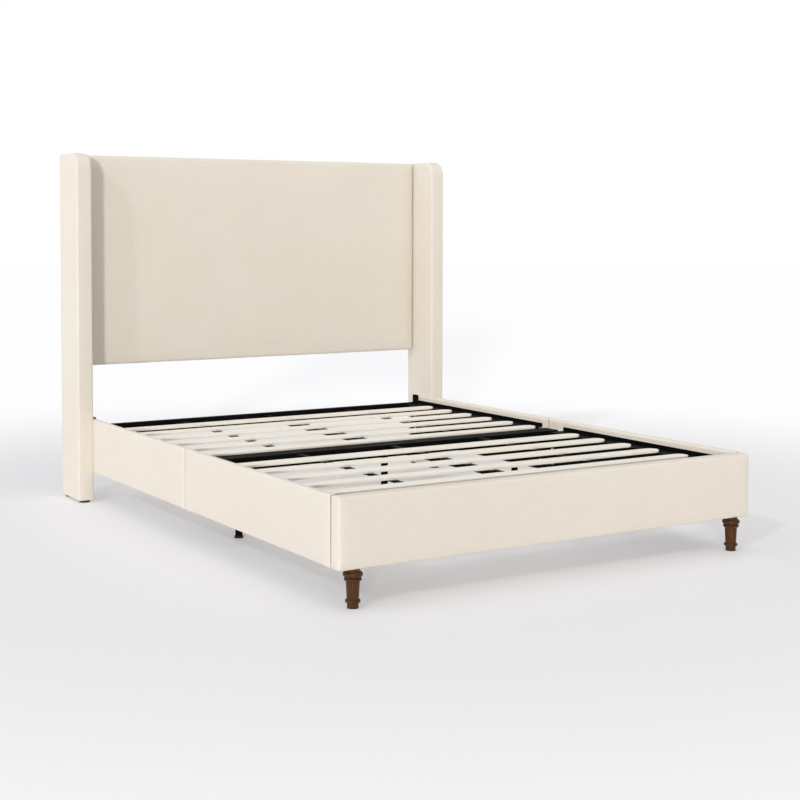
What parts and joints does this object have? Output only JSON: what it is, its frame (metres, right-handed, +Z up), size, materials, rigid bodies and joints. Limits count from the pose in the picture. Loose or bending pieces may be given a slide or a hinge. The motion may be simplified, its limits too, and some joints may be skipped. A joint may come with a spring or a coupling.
{
  "type": "upholstered headboard bed",
  "caption": "Low upholstered bed with a tall winged headboard, padded rails and footboard, slatted deck on steel bars and turned wooden front legs.",
  "frame": {"origin": "on the floor under the middle of the whole bed's box", "axes": "+Z up; +Y from the footboard to the headboard; +X to the right of someone standing at the foot and facing the headboard"},
  "size_m": [1.76, 2.1768, 1.408],
  "materials": {
    "upholstery": "cream woven linen-look upholstery, matte",
    "board_wood": "raw plywood and softwood",
    "lining_cloth": "black non-woven dust cloth",
    "slat_wood": "pale sanded slat wood",
    "turned_wood": "lathe-turned, stained brown and lacquered",
    "black_steel": "black powder coat",
    "bolt_steel": "zinc plated",
    "spacer_pads": "pale moulded spacer pads",
    "glide_plastic": "black nylon glide",
    "foot_plastic": "black moulded plastic"
  },
  "bodies": {
    "bed": {"bar_clips": "black_steel", "centre_bar_foot": "black_steel", "centre_bar_head": "black_steel", "corner_brackets": "black_steel", "crossbar_head": "black_steel", "crossbar_hooks": "black_steel", "crossbar_middle": "black_steel", "footboard_board": "board_wood", "footboard_cover": "upholstery", "footboard_ledge": "black_steel", "footboard_lining": "lining_cloth", "frame_bolts": "bolt_steel", "hanger_bolts": "bolt_steel", "headboard_back_cover": "lining_cloth", "headboard_board": "board_wood", "headboard_bolts": "bolt_steel", "headboard_pad": "upholstery", "long_bolts": "bolt_steel", "rail_left_foot_board": "board_wood", "rail_left_foot_cover": "upholstery", "rail_left_foot_ledge": "black_steel", "rail_left_head_board": "board_wood", "rail_left_head_cover": "upholstery", "rail_left_head_ledge": "black_steel", "rail_linings": "lining_cloth", "rail_right_foot_board": "board_wood", "rail_right_foot_cover": "upholstery", "rail_right_foot_ledge": "black_steel", "rail_right_head_board": "board_wood", "rail_right_head_cover": "upholstery", "rail_right_head_ledge": "black_steel", "side_bars_foot": "black_steel", "side_bars_head": "black_steel", "slat_01": "slat_wood", "slat_02": "slat_wood", "slat_03": "slat_wood", "slat_04": "slat_wood", "slat_05": "slat_wood", "slat_06": "slat_wood", "slat_07": "slat_wood", "slat_08": "slat_wood", "slat_09": "slat_wood", "slat_10": "slat_wood", "slat_11": "slat_wood", "slat_12": "slat_wood", "slat_pads": "spacer_pads", "splice_brackets": "black_steel", "support_leg_centre": "black_steel", "support_leg_left": "black_steel", "support_leg_right": "black_steel", "turned_leg_left": "turned_wood", "turned_leg_right": "turned_wood", "wing_glides": "glide_plastic", "wing_left_board": "board_wood", "wing_left_cover": "upholstery", "wing_right_board": "board_wood", "wing_right_cover": "upholstery"},
    "levelling_foot_left": {"levelling_foot_left": "foot_plastic"},
    "levelling_foot_centre": {"levelling_foot_centre": "foot_plastic"},
    "levelling_foot_right": {"levelling_foot_right": "foot_plastic"}
  },
  "joints": [
    {"name": "foot_left_travel", "type": "slide", "parent": "bed", "child": "levelling_foot_left", "axis": [0, 0, -1], "range_m": [0, 0.015]},
    {"name": "foot_centre_travel", "type": "slide", "parent": "bed", "child": "levelling_foot_centre", "axis": [0, 0, -1], "range_m": [0, 0.015]},
    {"name": "foot_right_travel", "type": "slide", "parent": "bed", "child": "levelling_foot_right", "axis": [0, 0, -1], "range_m": [0, 0.015]}
  ]
}
